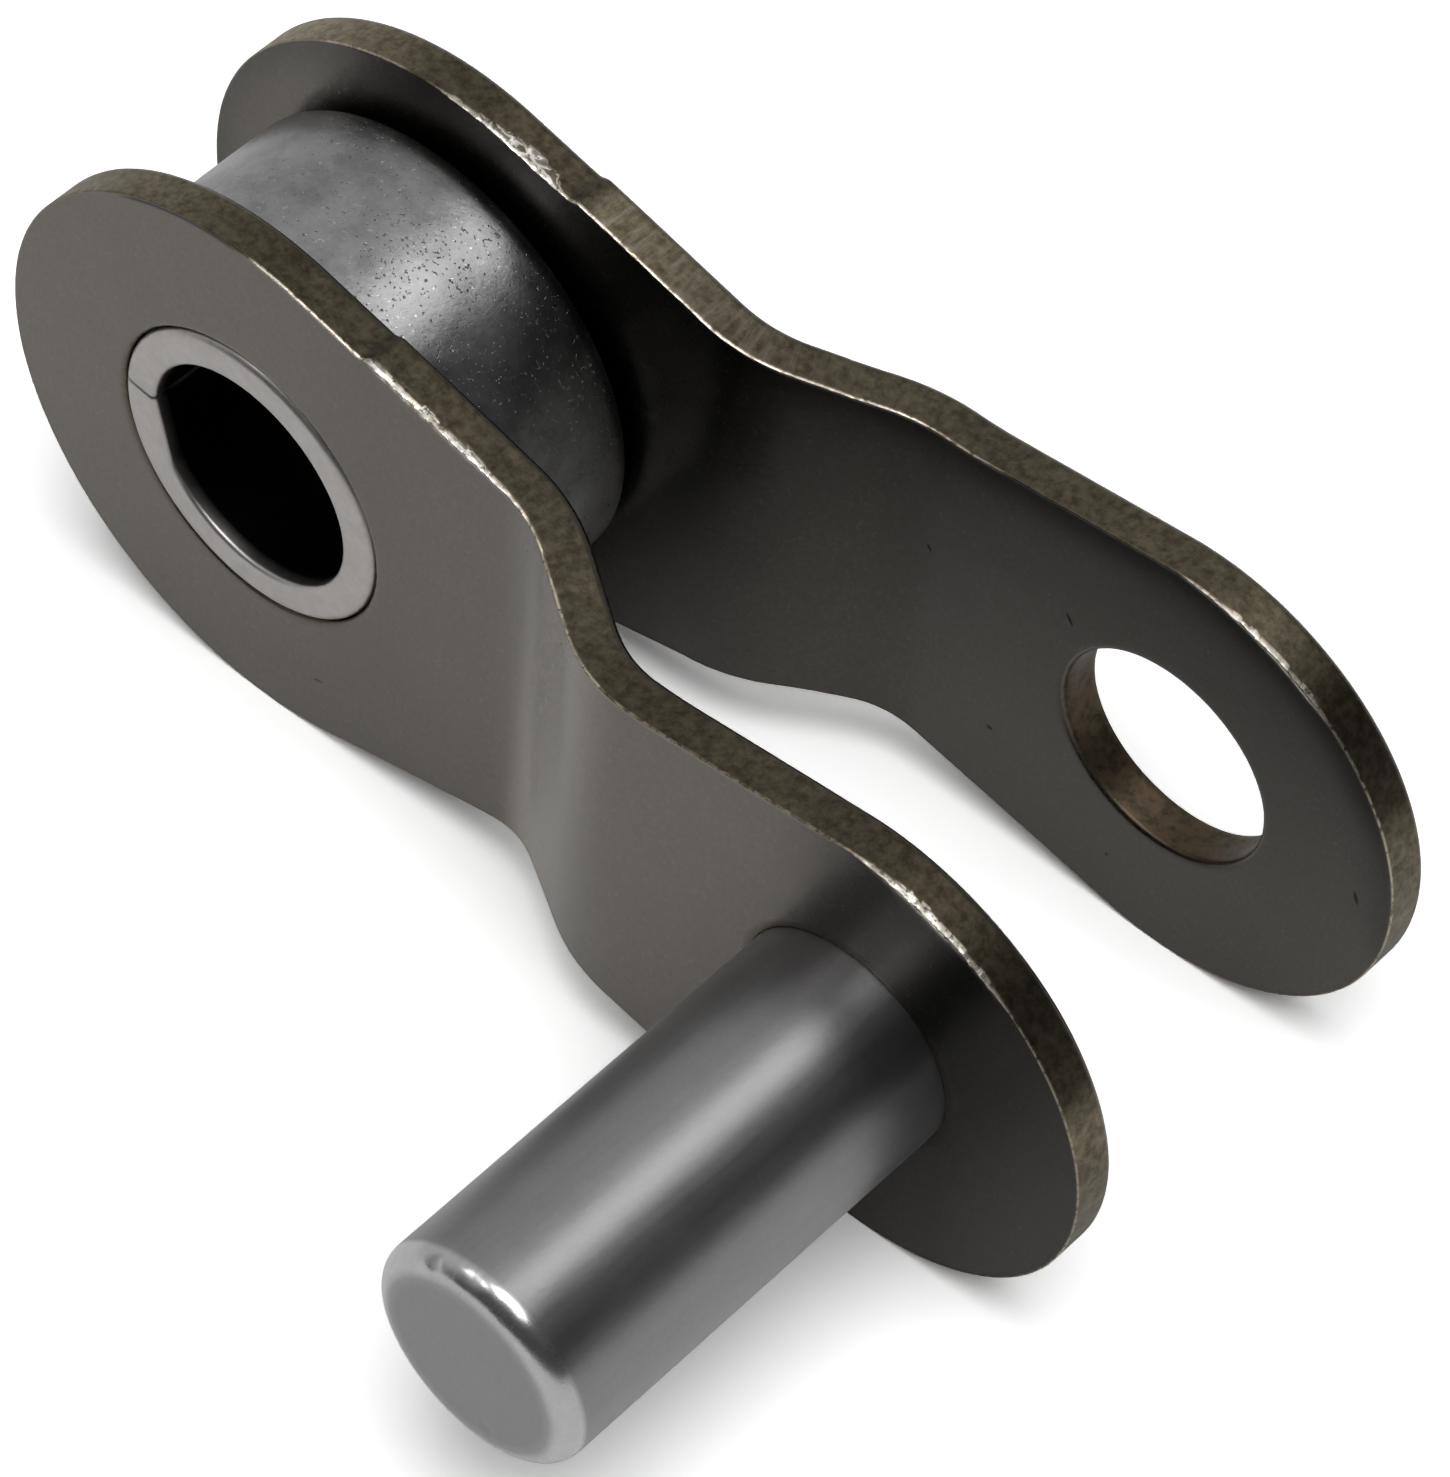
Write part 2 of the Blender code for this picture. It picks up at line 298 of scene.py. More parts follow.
class Outline:
    """Closed outline of the flat blank, anticlockwise from the pin lobe's far end, by its length s.

    The lower edge is drawn as the upper one is, with a waist of its own, and mirrored. The cut is the
    line across the blank, halfway along the crank, where the faces around the two holes meet.
    """

    def __init__(self):
        lobe, fillet, bush_arc = edge_runs(waist_position, waist_half_height, waist_fillet)
        upper = np.concatenate([lobe, fillet, bush_arc])
        lower = np.concatenate(edge_runs(lower_waist_position, lower_waist_half_height, lower_waist_fillet))
        self.points = np.concatenate([upper, lower[-2::-1] * (1, -1)])
        steps = np.linalg.norm(np.diff(self.points, axis=0), axis=1)
        self.lengths = np.concatenate([[0], np.cumsum(steps)])
        self.total = self.lengths[-1]
        self.upper_length = self.lengths[len(upper) - 1]
        self.bush_foot = self.lengths[len(lobe) + len(fillet)]
        self.waist_end = self.lengths[len(lobe) + len(fillet) - 1]
        self.cut = np.interp(-cut_position, -self.points[:len(upper), 0], self.lengths[:len(upper)])
        self.lower_cut = np.interp(cut_position, self.points[len(upper):, 0], self.lengths[len(upper):])

    def at(self, s):
        """Points at the lengths s."""
        s = np.mod(s, self.total)
        return joined(*(np.interp(s, self.lengths, self.points[:, axis]) for axis in (0, 1)))

    def normal(self, s):
        """Outward unit normals at the lengths s, from the short chord around each point."""
        along = self.at(s + chord_half) - self.at(s - chord_half)
        along /= np.linalg.norm(along, axis=-1, keepdims=True)
        return joined(along[..., 1], -along[..., 0])

    def samples(self):
        """Lengths of the columns and how many come before the lower cut.

        They run anticlockwise from the upper cut and lie closer together on the upper edge.
        """
        stops = (self.cut, self.upper_length, self.lower_cut, self.total, self.total + self.cut)
        steps = (upper_step, lower_step, lower_step, upper_step)
        runs = []
        for start, end, step in zip(stops, stops[1:], steps):
            runs.append(np.linspace(start, end, int((end - start) / step) + 1)[:-1])
        return np.concatenate(runs), len(runs[0]) + len(runs[1])


outline = Outline()


def crank(along, across):
    """Carry the flat blank onto the crank: two arcs of opposite turn with a straight between them.

    Up to the first bend the path is straight. Each arc adds radius times (sin, 1 - cos) of the angle
    turned, in the direction reached so far, and across is laid off along the path's normal.
    """
    second = crank_start + bend_length + straight_length
    up = np.clip(along - crank_start, 0, bend_length) / crank_bend_radius
    down = np.clip(along - second, 0, bend_length) / crank_bend_radius
    straight = np.clip(along - crank_start - bend_length, 0, straight_length)
    beyond = np.maximum(along - second - bend_length, 0)
    angle = up - down
    u = np.minimum(along, crank_start) + crank_bend_radius * np.sin(up) + straight * math.cos(crank_angle)
    u += crank_bend_radius * (np.sin(crank_angle) - np.sin(crank_angle - down)) + beyond
    rise = crank_bend_radius * (1 - np.cos(up)) + straight * math.sin(crank_angle)
    rise += crank_bend_radius * (np.cos(crank_angle - down) - math.cos(crank_angle))
    return u - np.sin(angle) * across, rise + np.cos(angle) * across


def step_push(s):
    """How far the waist's punch leaves the upper edge proud: a ramp up and a straight fall to the waist."""
    past = outline.bush_foot - s
    length = outline.bush_foot - outline.waist_end
    ramp = smooth_ramp(past, punch_step_position, punch_step_position + punch_step_length)
    fall = np.clip(1 - (past - punch_step_position) / (length - punch_step_position), 0, 1)
    return punch_step_height * ramp * fall


def plate_points(side, flat, level):
    """Frame points of a plate from flat (x, y) on the blank and level outwards from its middle."""
    u, rise = crank(flat[..., 0], level)
    return to_frame(u, side * (narrow_middle + rise), flat[..., 1])


def edge_profile():
    """Inset from the outline and level, from the burr's face round the edge to the rolled face."""
    burr_face = [(inset, half_thick) for inset in strip_insets]
    band = [(0, level) for level in np.linspace(band_start, rolled_edge - half_thick, 16)]
    turn = np.linspace(0, math.pi / 2, 8)[1:]
    roll = joined(rolled_edge * (1 - np.cos(turn)), rolled_edge * (1 - np.sin(turn)) - half_thick)
    rolled_face = [(inset, -half_thick) for inset in (0.2, 0.25, strip_inset)]
    return np.concatenate([burr_face, band, roll, rolled_face])


def hole_profile(rolled):
    """Distance outside the hole and level, from the burr's face over its rolled rim and down the wall."""
    turn = np.linspace(math.pi / 2, 0, 6)
    burr_face = [(hole_strip, half_thick), (0.16, half_thick)]
    roll = joined(rolled * (1 - np.cos(turn)), half_thick - rolled * (1 - np.sin(turn)))
    wall = [(0, level) for level in np.linspace(half_thick - rolled, 0.02 - half_thick, 7)[1:]]
    sharp_face = [(0.02, -half_thick), (0.11, -half_thick), (hole_strip, -half_thick)]
    return np.concatenate([burr_face, roll, wall, sharp_face])


def face_waves(flat, seed):
    """Slow waves and finer ripples of a rolled strip's face: a slice through noise for each seed."""
    points = np.concatenate([flat, np.full(flat.shape[:-1] + (1,), seed * 3.7)], axis=-1)
    waves = wave_height * lattice_noise(points, wave_length, seed)
    return waves + ripple_height * lattice_noise(points, ripple_length, seed + 7)


plate_attributes = ("rim", "burr", "tone", "stripes", "torn", "level", "blank_x", "blank_y", "hole")


def plate_piece(name, side, burr_sense, marks, pin_gap, pin_roll):
    """One plate: edge strip, two faces as rays from each hole to the strip or the cut, and hole walls.

    side is -1 for the pin's plate and 1 for the other. burr_sense is 1 with the burr on the outer face.
    pin_gap is how much wider than the pin its hole is, on the radius, and pin_roll is the radius of
    that hole's rim on the burr's face.
    """
    s, left_count = outline.samples()
    base = outline.at(s)
    normal = outline.normal(s)
    grids = []

    def add_grid(flat, level, lift, masks, hole):
        """Add a grid with its lift and the face's waves, which end halfway through the thickness."""
        face = np.sign(level)
        on_burr_face = face_waves(flat, burr_face_seed - side)
        waves = np.where(face > 0, on_burr_face, face_waves(flat, rolled_face_seed - side))
        raised = level + face * waves * np.clip(np.abs(level) / half_thick, 0, 1) ** 4 + lift
        points = plate_points(side, flat, burr_sense * raised)
        grids.append((points, True, (*masks, level, flat[..., 0], flat[..., 1], hole)))

    inset, level = edge_profile().T
    inset = inset[:, None]
    level = np.broadcast_to(level[:, None], (len(level), len(s)))
    push, lift, masks = edge_wear_and_painted_light(marks, s, inset, level)
    fade = 1 - smooth_ramp(inset, 0, strip_inset)
    out = (step_push(s) * (base[:, 1] > 0) + push) * fade
    add_grid(base + normal * (out - inset)[..., None], level, lift, masks, 0.0)

    inner = base - normal * strip_inset
    top, bottom = inner[0], inner[left_count]
    cut = bottom + (top - bottom) * np.linspace(0, 1, cut_columns + 2)[1:-1, None]
    halves = (
        (np.zeros(2), bush_outer_diameter / 2 + press_gap, rolled_hole_edge,
         np.concatenate([inner[:left_count + 1], cut])),
        (np.array([pitch + blank_stretch, 0.0]), pin_diameter / 2 + pin_gap, pin_roll,
         np.concatenate([inner[left_count:], inner[:1], cut[::-1]])),
    )
    for centre, radius, rolled_edge_size, border in halves:
        outwards, depth = hole_profile(rolled_edge_size).T
        ray = border - centre
        ray /= np.linalg.norm(ray, axis=-1, keepdims=True)
        flat = centre + ray * (radius + outwards[:, None])[..., None]
        level = np.broadcast_to(depth[:, None], flat.shape[:-1])
        rim = 1 - smooth_ramp(outwards, 0.0, 0.06)[:, None]
        # The hole's rolled rim takes a little of the burr's pale colour: partly pale metal and partly
        # painted highlight.
        rolled = np.exp(-((outwards[:, None] - 0.03) / 0.04) ** 2) * (level > 0)
        tone = np.where(level > burr_face_level, face_tone_and_painted_shade(marks, flat), 1.0 + 0.3 * rim)
        add_grid(flat, level, 0.0, (rim, 0.12 * rolled, tone, 0.0, 0.0), 1.0)
        start = centre + ray * (radius + hole_strip)
        share = np.linspace(0, 1, face_rows + 1)[:, None, None]
        flat = start + (border - start) * share
        for face in (1, -1):
            level = np.full(flat.shape[:-1], face * half_thick)
            tone = face_tone_with_painted_band(marks, flat) if face > 0 else 1.0
            add_grid(flat, level, 0.0, (0.0, 0.0, tone, 0.0, 0.0), 0.0)
    return surface_piece(name, grids, plate_attributes)


# Wear, tones and painted light of the upper edges and the faces beside them, as pairs of the distance along
# the blank and the amount there
pin_side_wear_and_painted_light = {
    "lip": ((-0.1, 0.0), (0.25, 0.022), (2.2, 0.026), (2.3, 0.0), (2.45, 0.028), (4.3, 0.024),
            (5.2, 0.014), (6.0, 0.012), (12.6, 0.014), (13.3, 0.036), (15.2, 0.032), (15.6, 0.01)),
    "lumps": ((2.3, 0.0), (2.45, 0.9), (4.3, 0.9), (5.0, 0.7), (6.0, 0.5), (9.0, 0.35), (12.6, 0.35),
              (13.2, 0.4), (15.2, 0.4), (15.6, 0.1)),
    "width": ((2.3, 0.03), (2.5, 0.075), (4.4, 0.07), (5.2, 0.045), (6.0, 0.04), (12.8, 0.04), (13.5, 0.11),
              (15.2, 0.09), (15.6, 0.03)),
    "shine": ((-0.1, 0.0), (0.3, 0.8), (2.2, 0.95), (2.3, 0.2), (2.45, 1.0), (4.4, 0.9), (5.2, 0.5),
              (6.0, 0.32), (12.6, 0.32), (13.2, 0.9), (15.1, 0.95), (15.7, 0.4), (16.9, 0.35)),
    "torn": ((2.2, 0.0), (2.4, 0.2), (4.2, 0.18), (4.8, 0.06), (6.0, 0.03), (12.9, 0.0), (13.3, 0.14),
             (15.1, 0.12), (15.5, 0.0)),
    "stripes": ((0.0, 0.0), (2.5, 0.15), (6.0, 0.3), (9.0, 0.1), (17.0, 0.1)),
    "groove": ((-2.6, 0.0), (-2.2, 1.0), (-0.3, 1.0), (0.0, 0.0)),
    "painted_shade_band": ((0.0, 0.0),),
    # face: from 12.0 on, the face falls to a quarter of its tone: painted shade and painted reflection of
    # the pin.
    "face": ((-4.0, 1.17), (0.0, 1.15), (2.5, 1.02), (7.0, 1.1), (11.4, 1.1), (12.0, 0.94), (12.4, 0.7),
             (13.5, 0.58), (14.8, 0.3), (17.0, 0.25)),
    # tone: the rise from 16.85 to 17.1 is a painted glint at the pin lobe's end.
    "tone": ((-4.8, 3.2), (-1.5, 2.6), (-0.4, 1.5), (0.5, 0.98), (3.5, 1.1), (5.5, 0.9), (7.0, 1.0),
             (11.6, 1.45), (13.5, 0.9), (16.6, 0.9), (16.85, 3.2), (17.1, 2.2)),
}
hole_side_wear_and_painted_light = {
    "lip": ((-2.8, 0.0), (-2.5, 0.012), (-0.9, 0.012), (-0.7, 0.0), (0.0, 0.02), (9.2, 0.02), (9.8, 0.006),
            (12.8, 0.008), (13.2, 0.03), (15.2, 0.026), (15.7, 0.01)),
    "lumps": ((-1.0, 0.3), (0.2, 0.6), (2.0, 0.6), (2.7, 0.12), (9.0, 0.25), (13.0, 0.2), (15.4, 0.2)),
    "width": ((0.0, 0.025), (2.6, 0.03), (8.0, 0.03), (12.9, 0.03), (13.4, 0.05), (14.3, 0.07),
              (15.2, 0.08), (15.6, 0.03)),
    "shine": ((-2.8, 0.0), (-2.5, 0.5), (-1.0, 0.45), (-0.7, 0.05), (-0.1, 0.5), (0.3, 0.95), (2.0, 0.95),
              (5.0, 0.9), (8.0, 0.7), (9.3, 0.5), (9.9, 0.15), (12.8, 0.2), (13.1, 0.85), (14.3, 0.9),
              (14.6, 1.0), (15.2, 0.95), (15.7, 0.35), (16.9, 0.45)),
    "torn": ((-0.2, 0.0), (0.0, 0.12), (0.8, 0.2), (1.0, 0.42), (2.0, 0.48), (2.2, 0.04), (13.2, 0.0),
             (13.6, 0.06), (14.6, 0.12), (15.2, 0.12), (15.4, 0.0)),
    "stripes": ((1.0, 0.0), (2.55, 0.1), (2.7, 0.7), (5.5, 0.7), (6.5, 0.3), (8.0, 0.2), (17.0, 0.1)),
    "groove": ((-2.9, 0.0), (-2.6, 0.5), (0.0, 0.5), (0.4, 0.0)),
    # dull: a band of painted shade just below the upper edge.
    "painted_shade_band": ((0.0, 0.3), (5.5, 0.4), (7.5, 0.6), (9.8, 0.85), (13.0, 0.9), (16.5, 0.85), (17.2, 0.3)),
    # face: from -1.5 on, the inner face falls to about half its tone: painted reflection of the near plate
    # and of the shaded paper between the plates.
    "face": ((-3.0, 1.0), (-1.5, 0.75), (1.0, 0.48), (6.0, 0.48), (8.0, 0.58), (13.0, 0.64), (15.0, 0.58)),
    # tone: the rise at 16.9 is a painted glint at the pin lobe's end.
    "tone": ((-4.8, 4.2), (-2.7, 4.0), (-1.5, 2.9), (-0.3, 1.4), (2.5, 1.25), (2.7, 2.3), (4.0, 2.0),
             (5.0, 1.45), (8.5, 1.45), (12.5, 1.7), (13.3, 1.4), (14.2, 1.7), (15.2, 1.4), (15.5, 0.95),
             (16.6, 0.8), (16.9, 2.5)),
}

# Wear of the lower edges, the same all along, and the height over which it becomes the upper wear
lower_wear = {"lip": 0.008, "lumps": 0.3, "width": 0.03, "shine": 0.4, "torn": 0.0, "stripes": 0.3,
              "groove": 0.0, "painted_shade_band": 0.0, "face": 1.0, "tone": 0.9}
wear_fade = 1.2
torn_depth = 0.03
stripe_depth = 0.006
painted_shade_reach = 0.48
groove_inset = 0.04
groove_reach = 0.032

# Noise of the worn edges: cell in millimetres, and seed
lump_noise = (0.09, 9)
lump_blocks = (0.08, 10)
warp_noise = (0.2, 4)
facet_blocks = (0.14, 5)
small_facet_blocks = (0.07, 8)
torn_reach_blocks = (0.22, 6)
stripe_noise = (0.075, 3)


def wear_and_painted_light_amounts(marks, base):
    """Each kind of wear and painted light at points of the outline: from its pairs on the upper edge, even
    on the lower.

    lip and width are the burr's height and width in millimetres, lumps is how uneven it is and shine
    how bright. torn is how far the tear reaches down the edge, and stripes how strong its streaks are.
    groove and dull are dark bands on the face, and dull is painted shade. face and tone multiply the
    face's and edge's colours: face holds painted shade and painted reflection, tone a painted glint.
    The burr's shine is partly painted highlight.
    """
    amount = {}
    upper = smooth_ramp(base[:, 1], -wear_fade, 0)
    for key, pairs in marks.items():
        place, height = np.array(pairs).T
        amount[key] = lower_wear[key] + (np.interp(base[:, 0], place, height) - lower_wear[key]) * upper
    return amount


def edge_wear_and_painted_light(marks, s, inset, level):
    """Push outwards, lift off the face and masks (rim, burr, tone, stripes, torn) of the edge strip.

    The band carries stripes of noise drawn out through the thickness. By the burr it is torn: blocks
    of noise, longer along the edge, bite into it. The burr is a ridge exp(-(inset / width)^2) with
    lumps of noise on it. On the burr's face the tone falls by the larger of a groove, which is
    exp(-((inset - place) / reach)^2), and a band of painted shade below the upper edge (dull), which
    is exp(-(inset / reach)^2). Beside the edge the tone is the face's, with its painted shade.
    """
    amount = wear_and_painted_light_amounts(marks, outline.at(s))
    spots = joined(s, level, inset)
    drawn = spots * (1, 0.12, 1)
    lumps = 0.7 * lattice_noise(spots, *lump_noise) + 0.6 * block_noise(spots, *lump_blocks)
    bent = spots * (0.6, 1, 1) + 0.08 * lattice_noise(spots, *warp_noise)[..., None]
    facets = 0.7 * block_noise(bent, *facet_blocks) + 0.3 * block_noise(bent, *small_facet_blocks)
    ragged = 1 + 0.6 * block_noise(bent, *torn_reach_blocks)
    reach = half_thick - 0.03 - 0.42 * amount["torn"] * ragged
    torn = smooth_ramp(level, reach, reach + 0.06) * (amount["torn"] > 0.02)
    edge = 1 - smooth_ramp(inset, 0, 0.03)
    push = stripe_depth * amount["stripes"] * lattice_noise(drawn, *stripe_noise)
    push = push - torn_depth * torn * (0.6 + 0.6 * facets)
    knob = amount["lumps"] * np.maximum(lumps, 0) * smooth_ramp(level, half_thick - 0.06, half_thick)
    push = (push + 0.6 * amount["lip"] * knob) * edge
    ridge = np.exp(-(inset / amount["width"]) ** 2)
    lift = ridge * (level > half_thick - 0.02) * amount["lip"] * (1 + 0.8 * amount["lumps"] * lumps)
    burr = ridge * smooth_ramp(level, half_thick - 0.04 - 0.05 * amount["lumps"], half_thick - 0.01)
    burr = burr * (1 + 0.8 * amount["lumps"] * lumps)
    on_face = level > burr_face_level
    groove = 0.9 * amount["groove"] * np.exp(-((inset - groove_inset) / groove_reach) ** 2)
    painted_shade_band = amount["painted_shade_band"] * np.exp(-(inset / painted_shade_reach) ** 2)
    dark = np.maximum(groove, painted_shade_band) * on_face
    beside = np.where(on_face, face_tone_and_painted_shade(marks, outline.at(s)), 1)
    # The edge's tone holds a painted glint at the pin lobe's end, and the face's tone beside it painted
    # shade.
    tone = edge * amount["tone"] + (1 - edge) * (1 - dark) * beside
    masks = (edge, np.clip(burr, 0, 1) * amount["shine"], tone, amount["stripes"], torn * edge)
    return push, lift, [np.broadcast_to(mask, level.shape) for mask in masks]


def face_tone_and_painted_shade(marks, flat):
    """Tone of the burr's face along the blank, from its pairs, which hold painted shade and painted
    reflection.
    """
    place, height = np.array(marks["face"]).T
    return np.interp(flat[..., 0], place, height)


def face_tone_with_painted_band(marks, flat):
    """The face's tone times 1 - dull * exp(-(distance from the upper edge / reach)^2), a band of painted
    shade.
    """
    s = np.linspace(0, outline.upper_length, edge_samples)
    base = outline.at(s)
    distance = np.linalg.norm(flat[..., None, :] - base, axis=-1)
    nearest = np.argmin(distance, axis=-1)
    painted_shade_band = wear_and_painted_light_amounts(marks, base)["painted_shade_band"][nearest]
    near = np.exp(-(np.min(distance, axis=-1) / painted_shade_reach) ** 2)
    return face_tone_and_painted_shade(marks, flat) * (1 - painted_shade_band * near)


def turned_grid(profile, columns, centre):
    """A profile of (radius, depth) turned about the pin's direction at centre (u, w)."""
    angle = np.arange(columns) / columns * 2 * math.pi
    radius, depth = profile[:, :1], profile[:, 1:]
    u = centre[0] + radius * np.cos(angle)
    w = centre[1] + radius * np.sin(angle)
    return joined(u, depth, w)


def rounded_corner(radius, depth, size, start, steps):
    """A quarter circle about (radius, depth), clockwise in the half section from the angle start."""
    angle = np.linspace(start, start - math.pi / 2, steps)
    return joined(radius + size * np.cos(angle), depth + size * np.sin(angle))


def straight_run(start, end, steps):
    """Points between start and end, without the ends."""
    share = np.linspace(0, 1, steps + 2)[1:-1, None]
    return np.array(start) + (np.array(end) - np.array(start)) * share


def roller_piece():
    """The roller: a half section with rounded corners, turned about the bush's axis."""
    outer = roller_diameter / 2
    bore = bush_outer_diameter / 2 + roller_running_gap
    half = roller_width / 2
    corner = roller_corner_radius
    small = roller_bore_corner
    profile = np.concatenate([
        rounded_corner(outer - corner, half - corner, corner, math.pi / 2, 14),
        straight_run((outer, half - corner), (outer, corner - half), 40),
        rounded_corner(outer - corner, corner - half, corner, 0, 14),
        straight_run((outer - corner, -half), (bore + small, -half), 8),
        rounded_corner(bore + small, small - half, small, -math.pi / 2, 6),
        straight_run((bore, small - half), (bore, half - small), 12),
        rounded_corner(bore + small, half - small, small, math.pi, 6),
        straight_run((bore + small, half), (outer - corner, half), 8)])
    profile = np.concatenate([profile, profile[:1]])
    grid = turned_grid(profile, roller_columns, (0, 0))
    return surface_piece("turned_roller", [(to_frame(*np.moveaxis(grid, -1, 0)), True, ())])


def pin_piece():
    """The pin: a straight half section with a rounded corner at each end, turned about the pin's axis.

    Each dent moves the points near it towards the pin's middle by size * exp(-(distance / reach)^2).
    """
    radius = pin_diameter / 2
    half = pin_length / 2
    end = pin_end_radius
    profile = np.concatenate([
        straight_run((axis_gap, half), (radius - end, half), 10),
        rounded_corner(radius - end, half - end, end, math.pi / 2, 14),
        straight_run((radius, half - end), (radius, end - half), 70),
        rounded_corner(radius - end, end - half, end, 0, 14),
        straight_run((radius - end, -half), (axis_gap, -half), 10)])
    profile = np.concatenate([[(0, half)], profile, [(0, -half)]])
    grid = turned_grid(profile, pin_columns, (pitch, 0))
    for angle, place, depth, reach, size in pin_dents:
        u = pitch + place * math.cos(math.radians(angle))
        w = place * math.sin(math.radians(angle))
        spot = np.array([u, depth - half, w])
        distance = np.linalg.norm(grid - spot, axis=-1, keepdims=True)
        inwards = np.array([pitch, 0.0, 0.0]) - spot
        inwards /= np.linalg.norm(inwards)
        grid = grid + inwards * size * np.exp(-(distance / reach) ** 2)
    depth = half - np.abs(profile[:, 1:])
    face = 1 - smooth_ramp(profile[:, :1], *pin_face_radii)
    rim = smooth_ramp(profile[:, :1], *pin_rim_radii) * (1 - smooth_ramp(depth, *pin_rim_depths))
    points = to_frame(grid[..., 0], grid[..., 1] - pin_pulled_out, grid[..., 2])
    return surface_piece("connecting_pin_surface", [(points, True, (face, rim))], ("face", "rim"))


def bush_piece():
    """The bush: a rounded wall section carried round the axis from one side of the seam to the other.

    The bore's radius over the flat's angle is that of the chord between the flat's ends.
    """
    outer = bush_outer_diameter / 2
    inner = outer - bush_wall
    half = narrow_inner_width / 2 + plate_thickness + bush_stand_out
    large = bush_outer_round
    small = bush_inner_round
    outer_run = np.concatenate([
        rounded_corner(-large, half - large, large, math.pi / 2, 8),
        straight_run((0, half - large), (0, large - half), 24),
        rounded_corner(-large, large - half, large, 0, 8)])
    inner_run = np.concatenate([
        rounded_corner(small, small - half, small, -math.pi / 2, 8),
        straight_run((0, small - half), (0, half - small), 24),
        rounded_corner(small, half - small, small, math.pi, 8)])
    gap = bush_seam_gap / 2
    share = np.linspace(0, 1, bush_columns)
    swing = 2 * math.pi * share
    chord = np.cos(bush_flat_angle / 2) / np.cos(np.clip(swing - bush_flat_angle / 2, -1, 1))
    bore = inner * np.where(swing < bush_flat_angle, chord, 1)
    radii = np.concatenate([outer + outer_run[:, :1] + 0 * bore, bore + inner_run[:, :1]])
    depth = np.concatenate([outer_run[:, 1:], inner_run[:, 1:]])
    trim = gap / radii
    angle = bush_seam_angle + trim + (2 * math.pi - 2 * trim) * share
    u, w = radii * np.cos(angle), radii * np.sin(angle)
    rows = np.concatenate([np.arange(len(radii)), [0]])
    wall = joined(u, depth, w)[rows]
    # The bore mask grows with the depth into the bore, where the colour is painted shade.
    inside = np.arange(len(radii)) >= len(outer_run) + 1
    inside = (inside * smooth_ramp(half - np.abs(depth[:, 0]), *bush_bore_depths))[rows][:, None]
    grids = [(to_frame(*np.moveaxis(wall, -1, 0)), False, (inside,))]
    for column in (0, -1):
        pair = np.stack([wall[:len(outer_run), column], wall[len(outer_run):-1, column][::-1]], axis=1)
        grids.append((to_frame(*np.moveaxis(pair, -1, 0)), False, (0.0,)))
    return surface_piece("curled_bush", grids, ("bore",))


class Value:
    """A number that varies over a surface: a shader output whose operators add Math nodes."""

    def __init__(self, paint, socket):
        self.paint = paint
        self.socket = socket

    def combine(self, operation, *inputs):
        """The result of a Math node with these inputs."""
        return self.paint.add("ShaderNodeMath", {"operation": operation}, dict(enumerate(inputs)))[0]

    def __add__(self, other):
        return self.combine("ADD", self, other)

    def __sub__(self, other):
        return self.combine("SUBTRACT", self, other)

    def __rsub__(self, other):
        return self.combine("SUBTRACT", other, self)

    def __mul__(self, other):
        return self.combine("MULTIPLY", self, other)

    def __truediv__(self, other):
        return self.combine("DIVIDE", self, other)

    __radd__ = __add__
    __rmul__ = __mul__


class Node:
    """A shader node whose outputs are read by number or name as values."""

    def __init__(self, paint, node):
        self.paint = paint
        self.node = node

    def __getitem__(self, key):
        return Value(self.paint, self.node.outputs[key])


